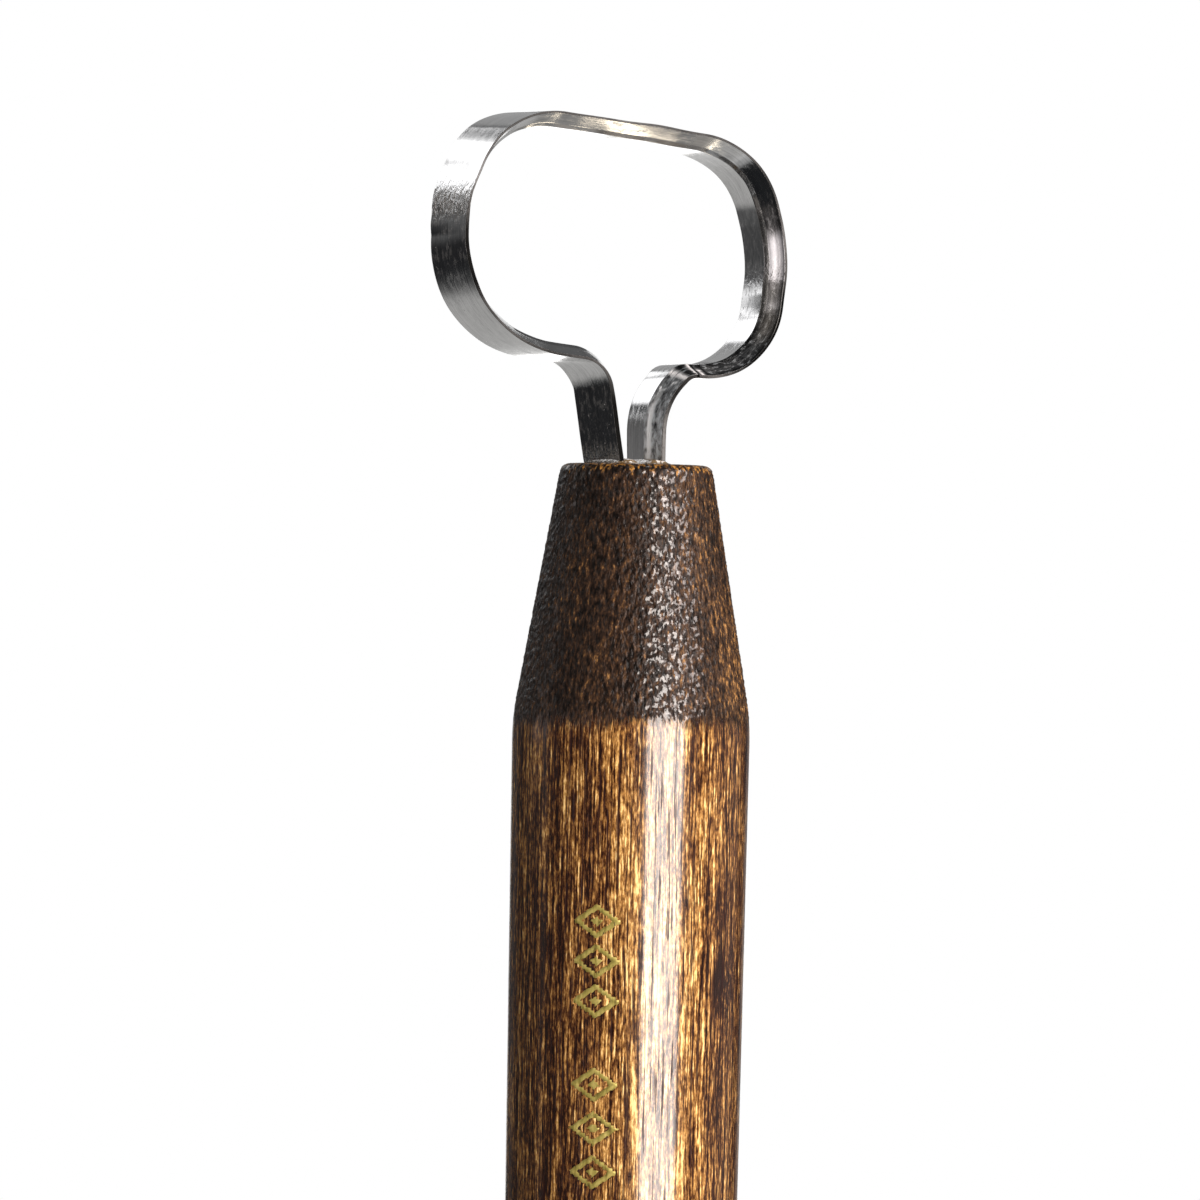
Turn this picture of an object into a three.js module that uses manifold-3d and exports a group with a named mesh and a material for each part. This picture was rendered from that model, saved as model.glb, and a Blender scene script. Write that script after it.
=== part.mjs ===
// A ribbon tool for shaping clay handles. A strip of steel is bent into a loop, and its two ends run down
// as tangs into a hole drilled in the tip of a turned hardwood handle, where adhesive holds them.
// Millimetres, +Z up. The handle stands on the flat of its butt, on Z = 0, and its axis is the Z axis.
// The loop lies across X, and its bevelled cutting edge faces -Y.

import * as THREE from 'three';
import { mergeVertices } from 'three/addons/utils/BufferGeometryUtils.js';
import Module from 'manifold-3d';

// Handle
const handleLength = 146;
const shoulderDiameter = 12.7;
const buttDiameter = 11.1;
const coneLength = 13.6;
const buttEdgeRadius = 1.6;
const shoulderRadius = 12;
const tipEdgeRadius = 0.55;

// Steel strip
const ribbonWidth = 4.7;
const ribbonThickness = 0.78;
const bevelWidth = 1.5;
const cuttingEdgeThickness = 0.26;

// Loop, measured over its outer face in its own turned frame
const loopWidth = 18.7;
const loopHeight = 12.7;
const loopTilt = 6;
const loopShift = -1.7;
const lowerLeftRadius = 6.3;
const lowerRightRadius = 4.8;
const lowerRightDrop = 0.3;

// Above a height over the loop's middle its sides lean in, and the upper corners are tighter
const leftLean = 15;
const leftLeanRise = 1;
const leftLeanRadius = 5;
const upperLeftRadius = 4.6;
const rightLean = 22;
const rightLeanRise = 0.9;
const rightLeanRadius = 9;
const upperRightRadius = 5;

// Legs, from the loop's underside down to the tip: the clear gap between them and the shift of its middle
const legRise = 5.35;
const neckGap = 3.4;
const neckShift = -0.33;
const footGap = 1.04;
const footShift = -0.62;
const leftNeckRadius = 1.2;
const leftFootRadius = 3;
const rightNeckRadius = 0.5;
const rightLegSlope = 46;
const rightLegRadius = 3.6;

// How far the strip's sides open towards its back, in degrees: up the loop's sides, and at each leg's foot
const leftLoopFlare = 1.7;
const leftFootFlare = 1.5;
const rightLoopFlare = 4;
const rightFootFlare = 6.5;

// How much further it opens in the middle of the loop's left corners, in degrees
const upperLeftFlare = 5;
const lowerLeftFlare = 2.5;

// Tangs, and the drilled hole that takes them
const tangDepth = 19;
const boreRun = 2;
const boreClearance = 0.2;
const drillPointAngle = 118;
const tipWall = 0.55;

// Adhesive
const adhesiveDome = 0.15;
const adhesiveGap = 0.25;

// Fineness of the model
const turnedSides = 72;
const arcStep = THREE.MathUtils.degToRad(7);
const stationStep = 1.5;

const { degToRad, clamp } = THREE.MathUtils;
const tipHeight = handleLength;
const leftNeckShift = neckShift - neckGap / 2 - ribbonThickness;
const rightNeckShift = neckShift + neckGap / 2 + ribbonThickness;
const leftFootShift = footShift - footGap / 2 - ribbonThickness;
const rightFootShift = footShift + footGap / 2 + ribbonThickness;

// The hole is centred on the tangs and clears their corners, and the tip leaves a wall round it
const tangsLeft = leftFootShift - ribbonWidth * Math.sin(degToRad(leftFootFlare));
const tangsRight = rightFootShift + ribbonWidth * Math.sin(degToRad(rightFootFlare));
const boreShift = (tangsLeft + tangsRight) / 2;
const boreRadius = Math.hypot((tangsRight - tangsLeft) / 2, ribbonWidth / 2) + boreClearance;
const boreDepth = tangDepth + boreRun;
const tipRadius = boreRadius + Math.abs(boreShift) + tipWall;

const hardwood = new THREE.MeshStandardMaterial({ color: 0x5b3a20, roughness: 0.42, metalness: 0 });
const steel = new THREE.MeshStandardMaterial({ color: 0x9c9c9e, roughness: 0.28, metalness: 1 });
const resin = new THREE.MeshStandardMaterial({ color: 0xcbbf9e, roughness: 0.2, metalness: 0 });

const wasm = await Module();
wasm.setup();

// Turns a closed geometry into a solid for cutting, leaving out the empty triangles at its poles.
function solidFrom(geometry) {
  const bare = geometry.clone();
  bare.deleteAttribute('normal');
  bare.deleteAttribute('uv');
  const merged = mergeVertices(bare);
  const index = merged.index.array;
  const triangles = [];
  for (let i = 0; i < index.length; i += 3) {
    const [a, b, c] = index.slice(i, i + 3);
    if (a !== b && b !== c && c !== a) triangles.push(a, b, c);
  }
  return new wasm.Manifold(new wasm.Mesh({
    numProp: 3,
    vertProperties: Float32Array.from(merged.attributes.position.array),
    triVerts: Uint32Array.from(triangles),
  }));
}

function meshFrom(solid, name, material) {
  const result = solid.getMesh();
  const geometry = new THREE.BufferGeometry();
  geometry.setAttribute('position', new THREE.BufferAttribute(Float32Array.from(result.vertProperties), 3));
  geometry.setIndex(new THREE.BufferAttribute(Uint32Array.from(result.triVerts), 1));
  geometry.computeVertexNormals();
  const mesh = new THREE.Mesh(geometry, material);
  mesh.name = name;
  return mesh;
}

// Rounds the corners of a line of points, each to its own radius. Where two arcs would overrun the straight
// between them, both radii shrink until they meet.
function roundedLine(corners) {
  const points = corners.map(({ at }) => at);
  const reach = corners.map(({ radius }, i) => {
    if (!radius) return 0;
    const back = points[i - 1].clone().sub(points[i]).normalize();
    const ahead = points[i + 1].clone().sub(points[i]).normalize();
    return radius / Math.tan(Math.acos(clamp(back.dot(ahead), -1, 1)) / 2);
  });
  const room = points.slice(1).map((point, i) => {
    const wanted = reach[i] + reach[i + 1];
    return wanted > 0 ? Math.min(1, point.distanceTo(points[i]) / wanted) : 1;
  });
  const line = [points[0].clone()];
  for (let i = 1; i < points.length - 1; i += 1) {
    if (!reach[i]) {
      line.push(points[i].clone());
      continue;
    }
    const share = Math.min(room[i - 1], room[i]);
    const back = points[i - 1].clone().sub(points[i]).normalize();
    const ahead = points[i + 1].clone().sub(points[i]).normalize();
    const halfAngle = Math.acos(clamp(back.dot(ahead), -1, 1)) / 2;
    const turn = (Math.PI - 2 * halfAngle) * Math.sign(ahead.cross(back));
    const start = points[i].clone().addScaledVector(back, reach[i] * share);
    const toCentre = back.clone().add(ahead).normalize();
    const centre = points[i].clone();
    centre.addScaledVector(toCentre, corners[i].radius * share / Math.sin(halfAngle));
    const steps = Math.max(2, Math.ceil(Math.abs(turn) / arcStep));
    for (let k = 0; k <= steps; k += 1) {
      line.push(start.clone().rotateAround(centre, turn * k / steps));
    }
  }
  line.push(points.at(-1).clone());
  return line;
}

// Handle: a turned profile from the butt's centre out and up to the tip's centre
function makeHandle() {
  const profile = roundedLine([
    { at: new THREE.Vector2(0, 0) },
    { at: new THREE.Vector2(buttDiameter / 2, 0), radius: buttEdgeRadius },
    { at: new THREE.Vector2(shoulderDiameter / 2, tipHeight - coneLength), radius: shoulderRadius },
    { at: new THREE.Vector2(tipRadius, tipHeight), radius: tipEdgeRadius },
    { at: new THREE.Vector2(0, tipHeight) },
  ]);
  const turned = new THREE.LatheGeometry(profile, turnedSides).rotateX(Math.PI / 2);
  return meshFrom(solidFrom(turned).subtract(makeBore()), 'handle', hardwood);
}

// What fills the drilled hole, with the cone that the drill's point leaves and a top made of given points
function turnInBore(clearance, top) {
  const radius = boreRadius - clearance;
  const floor = tipHeight - boreDepth + clearance;
  const point = floor - radius / Math.tan(degToRad(drillPointAngle / 2));
  const profile = [new THREE.Vector2(0, point), new THREE.Vector2(radius, floor), ...top];
  const turned = new THREE.LatheGeometry(profile, turnedSides).rotateX(Math.PI / 2);
  return solidFrom(turned).translate([boreShift, 0, 0]);
}

function makeBore() {
  const above = tipHeight + tipEdgeRadius;
  return turnInBore(0, [new THREE.Vector2(boreRadius, above), new THREE.Vector2(0, above)]);
}

// A point of the loop's own frame, across and up from its middle, in the frame of the tool
function onLoop(across, up) {
  const point = new THREE.Vector2(across, up).rotateAround(new THREE.Vector2(), -degToRad(loopTilt));
  return point.add(new THREE.Vector2(loopShift, tipHeight + legRise + loopHeight / 2));
}

// The point with a given X on the straight line between two others
function alongLine(from, to, x) {
  return from.clone().lerp(to, (x - from.x) / (to.x - from.x));
}

// The front edge of the strip's outer face, from the end of the left tang round the loop to the right one
function ribbonLine() {
  const side = loopWidth / 2;
  const half = loopHeight / 2;
  const lowerLeft = onLoop(-side, -half);
  const leftIn = (half - leftLeanRise) * Math.tan(degToRad(leftLean));
  const rightIn = (half - rightLeanRise) * Math.tan(degToRad(rightLean));
  const lowerRight = onLoop(side, -half - lowerRightDrop);
  const leftNeck = alongLine(lowerLeft, lowerRight, leftNeckShift);
  const rightNeck = alongLine(lowerLeft, lowerRight, rightNeckShift);
  const bendDrop = (rightNeckShift - rightFootShift) * Math.tan(degToRad(rightLegSlope));
  const corners = roundedLine([
    { at: new THREE.Vector2(leftFootShift, tipHeight - tangDepth) },
    { at: new THREE.Vector2(leftFootShift, tipHeight), radius: leftFootRadius },
    { at: leftNeck, radius: leftNeckRadius },
    { at: lowerLeft, radius: lowerLeftRadius },
    { at: onLoop(-side, leftLeanRise), radius: leftLeanRadius },
    { at: onLoop(-side + leftIn, half), radius: upperLeftRadius },
    { at: onLoop(side - rightIn, half), radius: upperRightRadius },
    { at: onLoop(side, rightLeanRise), radius: rightLeanRadius },
    { at: lowerRight, radius: lowerRightRadius },
    { at: rightNeck, radius: rightNeckRadius },
    { at: new THREE.Vector2(rightFootShift, rightNeck.y - bendDrop), radius: rightLegRadius },
    { at: new THREE.Vector2(rightFootShift, tipHeight - tangDepth) },
  ]);
  const line = [corners[0]];
  for (let i = 1; i < corners.length; i += 1) {
    const gap = corners[i].distanceTo(corners[i - 1]);
    const steps = Math.ceil(gap / stationStep);
    for (let k = 1; k <= steps; k += 1) line.push(corners[i - 1].clone().lerp(corners[i], k / steps));
  }
  return line;
}

// How far the strip opens towards its back where it faces a direction, at a height
function flareAt(outward, height) {
  const left = outward.x < 0;
  const loopFlare = left ? leftLoopFlare : rightLoopFlare;
  const footFlare = left ? leftFootFlare : rightFootFlare;
  const down = clamp(1 - (height - tipHeight) / legRise, 0, 1);
  const side = (loopFlare + (footFlare - loopFlare) * down) * outward.x ** 2;
  if (!left) return degToRad(side);
  const cornerFlare = outward.y > 0 ? upperLeftFlare : lowerLeftFlare;
  return degToRad(side + cornerFlare * Math.abs(2 * outward.x * outward.y));
}

// The strip, swept along its line. At each station the section starts at the front edge of the outer face
// and is given as depth towards the back and thickness towards the inside of the loop. A clearance makes it
// fatter.
function sweepRibbon(clearance) {
  const line = ribbonLine();
  const section = [
    [-clearance, -clearance],
    [-clearance, cuttingEdgeThickness + clearance],
    [bevelWidth, ribbonThickness + clearance],
    [ribbonWidth + clearance, ribbonThickness + clearance],
    [ribbonWidth + clearance, -clearance],
  ];
  const positions = [];
  line.forEach((point, i) => {
    const before = line[Math.max(i - 1, 0)];
    const after = line[Math.min(i + 1, line.length - 1)];
    const along = after.clone().sub(before).normalize();
    if (i === 0) point = point.clone().addScaledVector(along, -clearance);
    if (i === line.length - 1) point = point.clone().addScaledVector(along, clearance);
    const outward = new THREE.Vector2(-along.y, along.x);
    const flare = flareAt(outward, point.y);
    for (const [depth, thickness] of section) {
      const out = depth * Math.sin(flare) - thickness * Math.cos(flare);
      const back = depth * Math.cos(flare) + thickness * Math.sin(flare);
      positions.push(point.x + outward.x * out, back - ribbonWidth / 2, point.y + outward.y * out);
    }
  });
  const sides = section.length;
  const index = [];
  for (let i = 0; i < line.length - 1; i += 1) {
    for (let k = 0; k < sides; k += 1) {
      const a = i * sides + k;
      const b = i * sides + (k + 1) % sides;
      index.push(a, b, a + sides, b, b + sides, a + sides);
    }
  }
  const last = (line.length - 1) * sides;
  for (let k = 1; k < sides - 1; k += 1) {
    index.push(0, k + 1, k);
    index.push(last, last + k, last + k + 1);
  }
  const geometry = new THREE.BufferGeometry();
  geometry.setAttribute('position', new THREE.Float32BufferAttribute(positions, 3));
  geometry.setIndex(index);
  return solidFrom(geometry);
}

// Adhesive: it fills the hole round the tangs and stands up as a low dome between the feet of the legs
function makeAdhesive() {
  const radius = boreRadius - adhesiveGap;
  const dome = [];
  for (let angle = 0; angle < Math.PI / 2; angle += 2 * arcStep) {
    dome.push(new THREE.Vector2(radius * Math.cos(angle), tipHeight + adhesiveDome * Math.sin(angle)));
  }
  dome.push(new THREE.Vector2(0, tipHeight + adhesiveDome));
  const plug = turnInBore(adhesiveGap, dome);
  return meshFrom(plug.subtract(sweepRibbon(adhesiveGap)), 'adhesive', resin);
}

const tool = new THREE.Group();
tool.add(makeHandle());
tool.add(meshFrom(sweepRibbon(0), 'ribbon_loop', steel));
tool.add(makeAdhesive());

export default tool;
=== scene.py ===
# Clay handle maker: a steel ribbon loop in a stained wooden handle. Lengths are in mm until a mesh is made.
import math

import bpy
import numpy as np
from mathutils import Matrix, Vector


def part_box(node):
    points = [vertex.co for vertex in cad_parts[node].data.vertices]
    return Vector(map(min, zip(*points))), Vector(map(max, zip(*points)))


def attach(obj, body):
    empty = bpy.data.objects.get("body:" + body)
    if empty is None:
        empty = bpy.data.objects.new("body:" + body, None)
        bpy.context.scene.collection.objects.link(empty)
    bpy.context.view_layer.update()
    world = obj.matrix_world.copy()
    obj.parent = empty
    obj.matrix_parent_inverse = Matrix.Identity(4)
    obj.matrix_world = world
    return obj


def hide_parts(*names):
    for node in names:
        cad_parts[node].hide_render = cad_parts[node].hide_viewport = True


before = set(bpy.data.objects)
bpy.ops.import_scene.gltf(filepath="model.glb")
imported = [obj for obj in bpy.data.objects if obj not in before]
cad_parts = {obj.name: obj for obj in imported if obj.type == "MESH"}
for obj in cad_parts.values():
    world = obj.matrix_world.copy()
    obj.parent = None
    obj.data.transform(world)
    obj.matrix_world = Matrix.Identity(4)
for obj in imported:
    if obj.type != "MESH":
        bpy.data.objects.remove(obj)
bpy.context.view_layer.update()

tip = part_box("handle")[1].z * 1000     # height of the handle's end face
mm = 0.001


# Arrays and meshes

def unit(vector):
    return vector / np.linalg.norm(vector)


def roundedLine(points, radii, step):
    # Straight stretches joined by arcs. A corner's arc touches both straights, radius / tan(half the corner's
    # angle) away from the corner, and its centre lies radius / sin(half angle) along the bisector.
    line = [points[:1]]
    for k in range(1, len(points) - 1):
        back, ahead = unit(points[k - 1] - points[k]), unit(points[k + 1] - points[k])
        half = math.acos(back @ ahead) / 2
        turn = (math.pi - 2 * half) * np.sign(back[1] * ahead[0] - back[0] * ahead[1])
        centre = points[k] + unit(back + ahead) * radii[k] / math.sin(half)
        spoke = points[k] + back * radii[k] / math.tan(half) - centre
        angles = np.linspace(0, turn, max(3, int(abs(turn) * radii[k] / step)))
        across = np.array([-spoke[1], spoke[0]])
        line.append(centre + np.outer(np.cos(angles), spoke) + np.outer(np.sin(angles), across))
    line.append(points[-1:])
    return np.concatenate(line)


def distances(line):
    # How far along a line each of its points lies: the running sum of its steps' lengths
    return np.concatenate([[0], np.cumsum(np.linalg.norm(np.diff(line, axis=0), axis=1))])


def evenly(line, places):
    # The points of a line at the given distances along it
    run = distances(line)
    return np.stack([np.interp(places, run, line[:, k]) for k in range(line.shape[1])], 1)


def supported(points, margin):
    # Adds two points to every long straight of a closed line, a margin from its ends, so that smooth shading
    # turns the corners only
    line = []
    for here, after in zip(points, np.roll(points, -1, axis=0)):
        length = np.linalg.norm(after - here)
        line.append(here)
        if length > margin * 4:
            line.extend([here + (after - here) * margin / length, after - (after - here) * margin / length])
    return np.array(line)


def ripple(places, wavelengths, seed):
    # Sum of sines with random phases, from -1 to 1
    phases = np.random.default_rng(seed).uniform(0, 2 * math.pi, len(wavelengths))
    waves = [np.sin(2 * math.pi * places / length + phase) for length, phase in zip(wavelengths, phases)]
    return np.sum(waves, 0) / len(wavelengths)


def crinkle(shape, spacing, size, seed):
    # White noise kept only near one wavelength: its Fourier transform times exp(-1.6 log(frequency * size)^2)
    noise = np.fft.fft2(np.random.default_rng(seed).standard_normal(shape))
    rows = np.fft.fftfreq(shape[0], spacing[0])[:, None] * size[0]
    cols = np.fft.fftfreq(shape[1], spacing[1])[None, :] * size[1]
    frequency = np.maximum(np.hypot(rows, cols), 1e-6)
    field = np.fft.ifft2(noise * np.exp(-np.log(frequency) ** 2 * 1.6)).real
    return field / field.std()


def addMesh(name, vertices, faces, material, uv=None):
    # Puts arrays into a mesh object, in metres. Faces are turned round if their solid's volume is negative:
    # volume = sum of first corner . (second x third) / 6 over its triangles.
    volume = 0
    for group in faces:
        for k in range(1, group.shape[1] - 1):
            a, b, c = (vertices[group[:, m]] for m in (0, k, k + 1))
            volume += np.einsum("ij,ij->i", a, np.cross(b, c)).sum()
    if volume < 0:
        faces = [group[:, ::-1] for group in faces]
        uv = [group[:, ::-1] for group in uv] if uv else None
    mesh = bpy.data.meshes.new(name)
    mesh.from_pydata((vertices * mm).tolist(), [], [face for group in faces for face in group.tolist()])
    if uv:
        layer = mesh.uv_layers.new(name="strip")
        layer.data.foreach_set("uv", np.concatenate([group.reshape(-1) for group in uv]).astype(np.float32))
    mesh.polygons.foreach_set("use_smooth", np.ones(len(mesh.polygons), dtype=bool))
    mesh.materials.append(material)
    mesh.update()
    piece = bpy.data.objects.new(name, mesh)
    bpy.context.scene.collection.objects.link(piece)
    return piece


def closedRings(name, rings, firstPole, lastPole, material, uv=None):
    # A solid from rings of points (ring, place on the ring, xyz), closed by a fan to a pole at each end.
    # The uv grid has one more column than the rings, for the seam.
    rows, cols = rings.shape[:2]
    i, j = np.meshgrid(np.arange(rows - 1), np.arange(cols), indexing="ij")
    following = (j + 1) % cols
    quads = np.stack([i * cols + j, i * cols + following, (i + 1) * cols + following, (i + 1) * cols + j], -1)
    k = np.arange(cols)
    last = (rows - 1) * cols
    first = np.stack([np.full(cols, rows * cols), (k + 1) % cols, k], -1)
    end = np.stack([np.full(cols, rows * cols + 1), last + k, last + (k + 1) % cols], -1)
    vertices = np.concatenate([rings.reshape(-1, 3), [firstPole, lastPole]])
    corners = None
    if uv is not None:
        square = np.stack([uv[i, j], uv[i, j + 1], uv[i + 1, j + 1], uv[i + 1, j]], -2).reshape(-1, 4, 2)
        firstFan = np.stack([uv[0, k], uv[0, k + 1], uv[0, k]], -2)
        lastFan = np.stack([uv[-1, k], uv[-1, k], uv[-1, k + 1]], -2)
        corners = [square, firstFan, lastFan]
    return addMesh(name, vertices, [quads.reshape(-1, 4), first, end], material, corners)


# Shaders

class Value:
    # A socket that takes part in sums. An expression such as 1 - mask * 2 adds its Math nodes.
    def __init__(self, shader, socket):
        self.shader, self.socket = shader, socket

    def math(self, operation, *others):
        return self.shader.add("ShaderNodeMath", {"operation": operation}, dict(enumerate((self, *others))))

    def __add__(self, other):
        return self.math("ADD", other)

    def __sub__(self, other):
        return self.math("SUBTRACT", other)

    def __rsub__(self, other):
        return self.shader.add("ShaderNodeMath", {"operation": "SUBTRACT"}, {0: other, 1: self})

    def __mul__(self, other):
        return self.math("MULTIPLY", other)

    def __truediv__(self, other):
        return self.math("DIVIDE", other)

    __radd__ = __add__
    __rmul__ = __mul__

    def between(self, low, high):
        # 0 below low, 1 above high, and an S curve between
        return self.shader.add("ShaderNodeMapRange", {"interpolation_type": "SMOOTHSTEP"},
                               {"Value": self, "From Min": low, "From Max": high})

    def near(self, middle, reach):
        # 1 at the middle, 0 beyond the reach
        return 1 - ((self - middle) / reach).math("ABSOLUTE").between(0, 1)


class Shader:
    # A material's or the world's nodes under construction
    def __init__(self, owner):
        owner.use_nodes = True
        self.owner = owner
        self.tree = owner.node_tree

    def add(self, kind, settings=None, sockets=None, output=None):
        # Adds a node, sets its settings first and then its sockets, and returns one of its outputs
        node = self.tree.nodes.new(kind)
        for key, value in (settings or {}).items():
            if key == "stops":
                self.setStops(node.color_ramp, value)
            else:
                setattr(node, key, value)
        self.feed(node, sockets or {})
        outputs = [socket for socket in node.outputs if socket.enabled]
        return Value(self, node.outputs[output] if output else outputs[0])

    def setStops(self, ramp, stops):
        for place, _ in stops[2:]:
            ramp.elements.new(place)
        for element, (place, colour) in zip(ramp.elements, stops):
            element.position, element.color = place, (*colour, 1)

    def feed(self, node, sockets):
        for key, value in sockets.items():
            named = (s for s in node.inputs if s.enabled and key in (s.name, s.identifier))
            socket = node.inputs[key] if isinstance(key, int) else next(named)
            if isinstance(value, Value):
                self.tree.links.new(value.socket, socket)
            else:
                socket.default_value = value

    def place(self, stretch=(1, 1, 1)):
        # Object coordinates in mm, times a stretch
        where = self.add("ShaderNodeTexCoord", output="Object")
        return self.scaled(where, [1000 * factor for factor in stretch])

    def parts(self, vector):
        return [self.add("ShaderNodeSeparateXYZ", {}, {0: vector}, axis) for axis in "XYZ"]

    def scaled(self, vector, factors):
        return self.add("ShaderNodeVectorMath", {"operation": "MULTIPLY"}, {0: vector, 1: tuple(factors)})

    def noise(self, vector, scale, detail=2, roughness=0.5, distortion=0):
        sockets = {"Vector": vector, "Scale": scale, "Detail": detail, "Roughness": roughness,
                   "Distortion": distortion}
        return self.add("ShaderNodeTexNoise", {"noise_dimensions": "3D"}, sockets)

    def ramp(self, value, stops):
        return self.add("ShaderNodeValToRGB", {"stops": stops}, {"Fac": value})

    def mix(self, factor, first, second):
        return self.add("ShaderNodeMix", {"data_type": "RGBA"}, {"Factor": factor, "A": first, "B": second})

    def bump(self, height, distance, normal=None):
        # Distance in mm
        sockets = {"Height": height, "Distance": distance * mm, "Strength": 1.0}
        if normal:
            sockets["Normal"] = normal
        return self.add("ShaderNodeBump", {}, sockets)

    def finish(self, **sockets):
        surface = self.tree.nodes["Principled BSDF"]
        self.feed(surface, {key.replace("_", " "): value for key, value in sockets.items()})
        return self.owner


def shade(red, green, blue):
    # A screen colour from 0 to 255 as linear light: c / 12.92 up to 0.04, above it ((c + 0.055) / 1.055)^2.4
    levels = [channel / 255 for channel in (red, green, blue)]
    return tuple(c / 12.92 if c <= 0.04 else ((c + 0.055) / 1.055) ** 2.4 for c in levels)


# Camera

view = {
    "azimuth": -22.5,       # the camera stands to the left of the loop's front
    "distance": 400.0,
    "aside": -1.8,          # how far the picture's middle lies from the handle's axis
    "belowTip": 7.27,
    "roll": 1.2,
    "lens": 224.9,
    "sensor": 36.0,
}


def addCamera():
    a, roll = math.radians(view["azimuth"]), math.radians(view["roll"])
    away = np.array([-math.sin(a), math.cos(a), 0])
    aside = np.array([math.cos(a), math.sin(a), 0])
    upright = np.array([0, 0, 1.0])
    right = math.cos(roll) * aside + math.sin(roll) * upright
    up = math.cos(roll) * upright - math.sin(roll) * aside
    spot = view["aside"] * aside - view["distance"] * away + (tip - view["belowTip"]) * upright
    data = bpy.data.cameras.new("camera")
    data.lens, data.sensor_width, data.clip_start = view["lens"], view["sensor"], 0.01
    camera = bpy.data.objects.new("camera", data)
    bpy.context.scene.collection.objects.link(camera)
    matrix = np.eye(4)
    matrix[:3, 0], matrix[:3, 1], matrix[:3, 2], matrix[:3, 3] = right, up, -away, spot * mm
    camera.matrix_world = Matrix(matrix.tolist())
    bpy.context.scene.camera = camera


# Studio

studio = {
    "floorRadius": 700.0,
    "floorColours": [(*shade(238, 237, 234), 1), (*shade(228, 227, 225), 1)],
    "night": (0.02, 0.021, 0.023),
    "glintSpot": (-2.4, -1.5, 17.9),      # where the warm glint lies, from the tip's middle
    # azimuth from straight behind (left is positive), elevation, distance, width, height, radiance, colour
    "lamps": {
        "key": (-168.5, 0.0, 900.0, 600.0, 600.0, 11.5, (1.0, 0.91, 0.85)),
        "fill": (-144.5, 29.0, 700.0, 490.0, 400.0, 7.0, (1.0, 0.88, 0.84)),
        "side": (59.0, 3.0, 150.0, 50.0, 50.0, 1.5, (1.0, 0.93, 0.95)),
        "glint": (-28.5, -48.0, 28.0, 3.8, 2.1, 5.2, (1.0, 0.86, 0.66)),
    },
    # soft-edged panels that only reflections and bounced light see: azimuth, elevation, half width,
    # half height, softness, radiance, colour
    "panels": [
        (-20.0, -3.2, 9.0, 9.2, 1.5, 1.9, (1.0, 0.99, 0.98)),      # white paper straight behind
        (-16.0, -15.5, 9.0, 4.0, 2.0, 0.14, (1.0, 1.0, 1.0)),
        (1.2, -35.2, 20.3, 25.3, 3.0, 0.5, (1.0, 0.99, 0.97)),
        (-39.5, -36.0, 20.5, 26.5, 2.0, 0.3, (1.0, 0.98, 0.95)),
        (28.0, -68.5, 50.0, 8.5, 3.0, 0.35, (1.0, 1.0, 1.0)),
        (-40.0, -67.0, 12.0, 6.0, 3.0, 0.35, (1.0, 0.86, 0.72)),
        (5.25, 20.5, 7.75, 8.5, 1.0, 2.0, (0.99, 0.99, 1.0)),         # window
        (15.2, 17.7, 2.2, 11.4, 1.0, 2.0, (0.99, 0.99, 1.0)),
        (22.5, 24.7, 7.0, 6.4, 1.8, 2.0, (0.99, 0.99, 1.0)),
        (24.0, 10.0, 7.0, 7.0, 5.0, 0.16, (1.0, 1.0, 1.0)),
        (-13.5, 21.0, 9.5, 12.0, 2.5, 0.38, (1.0, 1.0, 1.0)),
        (7.0, 0.0, 6.0, 7.0, 4.0, 0.17, (1.0, 0.97, 0.95)),
        (14.0, -5.0, 5.0, 7.0, 4.0, 0.04, (1.0, 1.0, 1.0)),
        (45.0, 13.0, 12.0, 28.0, 4.0, 0.2, (1.0, 0.86, 0.72)),
        (-30.0, 22.0, 8.0, 12.0, 3.0, 0.1, (1.0, 1.0, 1.0)),
        (-40.0, 17.0, 7.0, 9.5, 1.2, 1.0, (1.0, 1.0, 1.0)),
        (26.0, -55.0, 6.5, 7.0, 3.0, 0.5, (1.0, 1.0, 1.0)),
        (-38.0, -13.0, 9.0, 14.0, 4.0, 0.2, (1.0, 1.0, 1.0)),
        (66.5, 14.0, 4.0, 22.0, 1.5, 0.9, (1.0, 0.92, 0.84)),
        (75.0, -8.0, 4.5, 42.0, 2.0, 0.2, (1.0, 0.9, 0.8)),
        (105.0, 8.0, 22.0, 25.0, 8.0, 0.25, (1.0, 0.94, 0.88)),       # only seen from the sides
        (-95.0, 8.0, 25.0, 25.0, 8.0, 0.25, (1.0, 0.94, 0.88)),
        (0.0, 62.0, 80.0, 30.0, 5.0, 0.08, (1.0, 1.0, 1.0)),
        (0.0, 86.0, 180.0, 9.0, 2.0, 2.5, (1.0, 1.0, 1.0)),           # overhead
    ],
}


def addLamp(name, azimuth, elevation, distance, width, height, radiance, colour):
    # A soft box aimed at the tip, or the glint at the loop's top. Its power is radiance * pi * area.
    a, e = math.radians(azimuth), math.radians(elevation)
    out = np.array([-math.sin(a) * math.cos(e), math.cos(a) * math.cos(e), math.sin(e)])
    side = unit(np.cross(out, [0, 1e-6, 1.0]))
    spot = out * distance + np.array(studio["glintSpot"] if name == "glint" else [0, 0, 0]) + [0, 0, tip]
    data = bpy.data.lights.new(name, "AREA")
    data.shape, data.size, data.size_y = "RECTANGLE", width * mm, height * mm
    data.energy, data.color = radiance * math.pi * data.size * data.size_y, colour
    lamp = bpy.data.objects.new(name, data)
    lamp.visible_camera = False
    bpy.context.scene.collection.objects.link(lamp)
    columns = np.stack([side, np.cross(out, side), out, spot * mm], 1)
    lamp.matrix_world = Matrix(np.vstack([columns, [0, 0, 0, 1]]).tolist())


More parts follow.
